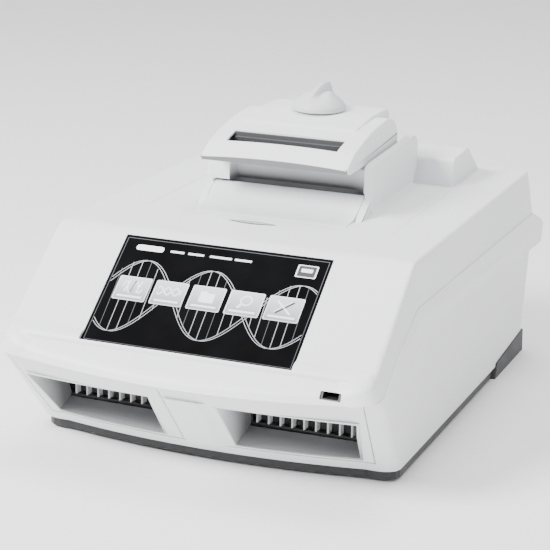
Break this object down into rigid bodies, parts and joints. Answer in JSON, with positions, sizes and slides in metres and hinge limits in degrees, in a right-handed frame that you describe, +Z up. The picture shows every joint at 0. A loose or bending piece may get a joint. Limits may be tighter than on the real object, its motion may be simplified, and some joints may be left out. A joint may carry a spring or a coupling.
{
  "type": "thermal cycler",
  "caption": "White bench-top thermal cycler with a sloped touch screen, a lift-out reaction module, a hinged heated lid with a height knob, front air vents and rear fans.",
  "frame": {"origin": "middle of the footprint's bounding box, on the bench surface under the feet", "axes": "+X to the operator's right, +Y from the screen towards the rear connectors, +Z up"},
  "size_m": [0.33, 0.442, 0.2588],
  "materials": {
    "white_abs": "fine-textured moulded white ABS, slightly cool",
    "light_grey_abs": "fine-textured light grey moulded plastic",
    "dark_grey_abs": "satin dark grey moulded plastic",
    "black_plastic": "satin black moulded plastic",
    "black_glass": "glossy glass printed black behind, over a colour screen",
    "rubber": "matt black rubber",
    "steel": "zinc-plated sheet and turned steel",
    "aluminium": "milled and extruded aluminium",
    "silver_block": "bright plated machined block",
    "circuit_board": "green solder mask",
    "ceramic": "white alumina ceramic",
    "light_pipe": "translucent light pipe, unlit"
  },
  "bodies": {
    "base": {"base_tray": "black_plastic", "bay_bracket": "steel", "bay_connector": "black_plastic", "bay_rail_left": "steel", "bay_rail_right": "steel", "display_board": "circuit_board", "display_cable": "light_grey_abs", "display_gasket": "rubber", "fan_frame_left": "black_plastic", "fan_frame_right": "black_plastic", "front_foot_left": "rubber", "front_foot_right": "rubber", "front_usb_port": "black_plastic", "front_vent_panel": "white_abs", "lcd_panel": "dark_grey_abs", "lower_housing": "white_abs", "main_board": "circuit_board", "network_port": "steel", "panel_screw_1": "steel", "panel_screw_2": "steel", "panel_screw_3": "steel", "panel_screw_4": "steel", "power_inlet": "black_plastic", "power_supply": "steel", "rear_foot_left": "rubber", "rear_foot_right": "rubber", "rear_panel": "light_grey_abs", "status_light": "light_pipe", "switch_housing": "black_plastic", "top_cover": "white_abs", "touch_glass": "black_glass", "vent_grille_left": "black_plastic", "vent_grille_right": "black_plastic"},
    "module": {"module_cover": "white_abs", "module_frame": "aluminium", "module_connector": "black_plastic", "sample_block": "silver_block", "block_seal": "rubber", "heat_sink": "aluminium", "hinge_pin": "steel", "lock_bar_pin": "steel", "latch_catch": "steel", "peltier_1": "ceramic", "peltier_2": "ceramic", "peltier_3": "ceramic", "peltier_4": "ceramic", "peltier_5": "ceramic", "peltier_6": "ceramic"},
    "lid": {"lid_shell": "white_abs", "lid_liner": "light_grey_abs", "lever_pin": "steel"},
    "lever": {"release_lever": "dark_grey_abs"},
    "knob": {"knob": "light_grey_abs", "lead_screw": "steel"},
    "heater": {"heated_plate": "aluminium", "plate_carrier": "steel"},
    "lock_bar": {"module_lock_bar": "white_abs"},
    "fan_left": {"fan_rotor_left": "dark_grey_abs"},
    "fan_right": {"fan_rotor_right": "dark_grey_abs"},
    "switch": {"power_switch": "dark_grey_abs"}
  },
  "joints": [
    {"name": "module_lift", "type": "slide", "parent": "base", "child": "module", "axis": [0, 0, 1], "range_m": [0, 0.075]},
    {"name": "lid_hinge", "type": "hinge", "parent": "module", "child": "lid", "pos_m": [0, 0.11, 0.204], "axis": [-1, 0, 0], "range_deg": [0, 80]},
    {"name": "lever_pivot", "type": "hinge", "parent": "lid", "child": "lever", "pos_m": [0, 0.008, 0.2125], "axis": [1, 0, 0], "range_deg": [0, 8], "stiffness_Nm_per_rad": 0.5, "springref_deg": -11.46},
    {"name": "knob_turn", "type": "hinge", "parent": "lid", "child": "knob", "pos_m": [0, 0.072, 0.236], "axis": [0, 0, -1], "range_deg": [0, 360]},
    {"name": "plate_slide", "type": "slide", "parent": "lid", "child": "heater", "axis": [0, 0, -1], "range_m": [0, 0.003]},
    {"name": "lock_bar_pivot", "type": "hinge", "parent": "module", "child": "lock_bar", "pos_m": [0, 0.011, 0.171], "axis": [-1, 0, 0], "range_deg": [0, 38]},
    {"name": "fan_left_spin", "type": "hinge", "parent": "base", "child": "fan_left", "pos_m": [-0.048, 0.1865, 0.074], "axis": [0, 1, 0], "continuous": true},
    {"name": "fan_right_spin", "type": "hinge", "parent": "base", "child": "fan_right", "pos_m": [0.048, 0.1865, 0.074], "axis": [0, 1, 0], "continuous": true},
    {"name": "switch_rock", "type": "hinge", "parent": "base", "child": "switch", "pos_m": [0.118, 0.2115, 0.074], "axis": [-1, 0, 0], "range_deg": [0, 16]}
  ],
  "couplings": [
    {"joint": "knob_turn", "follows": "plate_slide", "rad_per_m": 2094.4}
  ]
}
